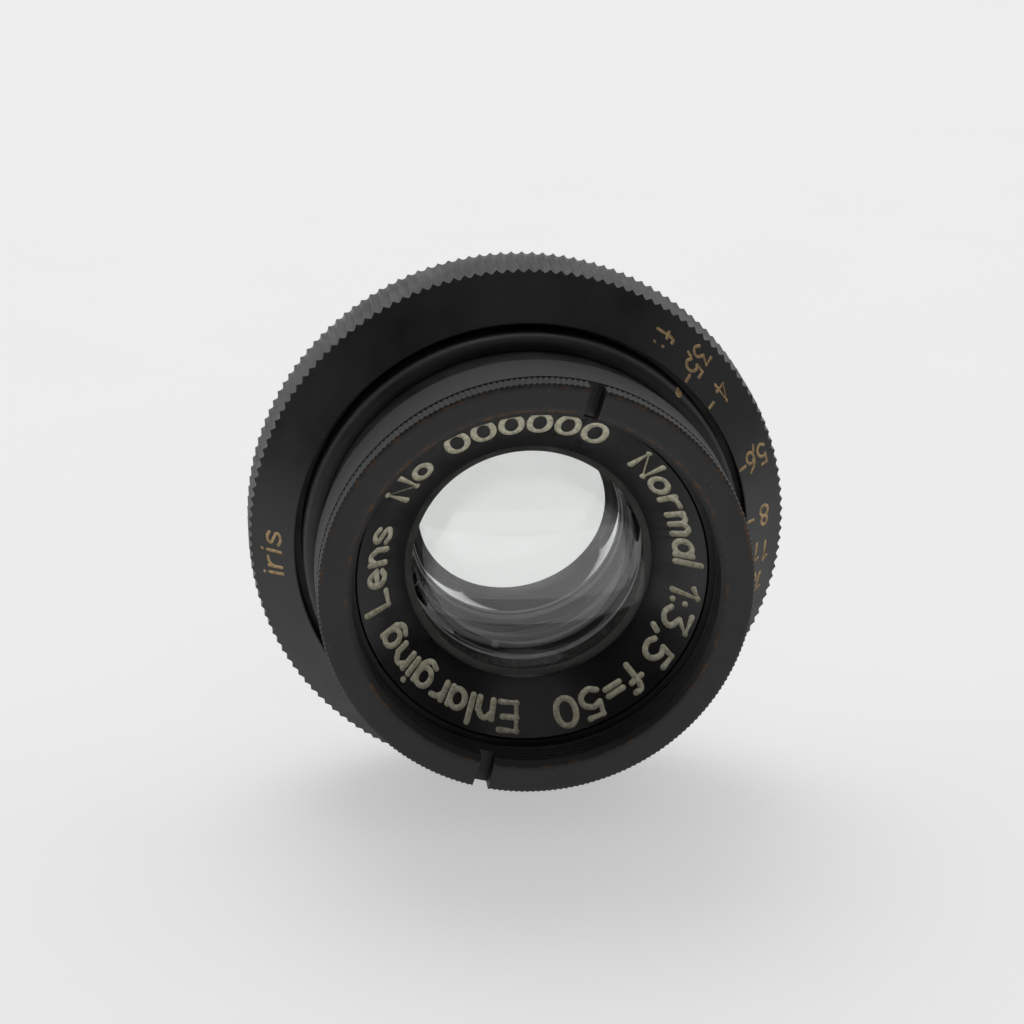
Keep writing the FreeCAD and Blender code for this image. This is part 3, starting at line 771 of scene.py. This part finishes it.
for node, material in (
        ("middle_retaining_ring", inner_black), ("friction_washer", washer_bronze),
        ("drive_screw", screw_steel),
        ("iris_retaining_ring", inner_black), ("iris_base", inner_black), ("cam_ring", inner_black),
        ("rear_retaining_ring", inner_black)):
    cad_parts[node].data.materials.clear()
    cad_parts[node].data.materials.append(material)
for number in range(1, 9):
    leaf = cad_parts["iris_leaf_%02d" % number]
    leaf.data.materials.clear()
    leaf.data.materials.append(leaf_steel)


# ---- floor, light and camera -------------------------------------------------------------
def pale_cloth(name):
    finish = Finish(name)
    weave = finish.noise(1400, 3, 0.6)
    soft = finish.noise(60, 3, 0.5)
    colour = finish.blend(soft, (0.79, 0.79, 0.795, 1), (0.83, 0.83, 0.83, 1))
    finish.shader.inputs["Emission Color"].default_value = (1, 1, 1, 1)
    finish.shader.inputs["Emission Strength"].default_value = 0.44
    return finish.set(Base_Color=colour, Roughness=0.9, Normal=finish.bump(weave, 0.00004, 0.5))


FLOOR_HALF = 0.9
FLOOR_LEVEL = -KNURL * MM - 0.00002
floor_mesh = bmesh.new()
bmesh.ops.create_grid(
    floor_mesh, x_segments=12, y_segments=12, size=FLOOR_HALF, matrix=Matrix.Translation((0, 0, FLOOR_LEVEL)))
floor_data = bpy.data.meshes.new("floor")
floor_mesh.to_mesh(floor_data)
floor_mesh.free()
floor_data.shade_smooth()
floor_data.materials.append(pale_cloth("pale_cloth"))
floor = bpy.data.objects.new("floor", floor_data)
bpy.context.scene.collection.objects.link(floor)

world = bpy.data.worlds.new("studio")
bpy.context.scene.world = world
world.use_nodes = True
nodes = world.node_tree.nodes
links = world.node_tree.links
backing = nodes["Background"]
where = nodes.new("ShaderNodeTexCoord")
split = nodes.new("ShaderNodeSeparateXYZ")
links.new(where.outputs["Generated"], split.inputs[0])
share = nodes.new("ShaderNodeMapRange")
share.interpolation_type = "SMOOTHSTEP"
links.new(split.outputs[1], share.inputs["Value"])
share.inputs["From Min"].default_value = -0.1
share.inputs["From Max"].default_value = 0.6
share.inputs["To Min"].default_value = 0.04
share.inputs["To Max"].default_value = 0.78
path = nodes.new("ShaderNodeLightPath")
seen = nodes.new("ShaderNodeMix")
links.new(path.outputs["Is Camera Ray"], seen.inputs[0])
links.new(share.outputs[0], seen.inputs[2])
seen.inputs[3].default_value = 0.74
links.new(seen.outputs[0], backing.inputs["Strength"])
backing.inputs["Color"].default_value = (1, 1, 1, 1)


def soft_lamp(name, place, target, size, power):
    lamp = bpy.data.lights.new(name, "AREA")
    lamp.shape = "DISK"
    lamp.size = size
    lamp.energy = power
    holder = bpy.data.objects.new(name, lamp)
    holder.location = place
    holder.rotation_euler = (Vector(target) - Vector(place)).to_track_quat("-Z", "Y").to_euler()
    bpy.context.scene.collection.objects.link(holder)


soft_lamp("back_top", (-0.15, 0.62, 1.1), (0, 0, 0), 0.9, 2.3)
soft_lamp("front", (0.1, -0.7, 0.9), (0, 0, 0), 0.9, 0.7)
soft_lamp("left", (-1.0, 0.0, 0.55), (0, 0, 0), 0.7, 0.6)
soft_lamp("right", (1.0, 0.0, 0.55), (0, 0, 0), 0.7, 0.6)

place = Vector((-0.0203, -0.17987, 0.0662))
target = Vector((-0.00168, -0.01688, 0.00526))
camera_data = bpy.data.cameras.new("camera")
camera_data.sensor_width = 36.0
camera_data.lens = 98.44
camera_data.clip_start = 0.01
camera_data.clip_end = 10.0
camera = bpy.data.objects.new("camera", camera_data)
camera.location = place
level = (target - place).to_track_quat("-Z", "Y")
camera.rotation_euler = (level @ Quaternion((0, 0, 1), math.radians(1.17))).to_euler()
bpy.context.scene.collection.objects.link(camera)
bpy.context.scene.camera = camera
bpy.context.scene.view_settings.view_transform = "Standard"
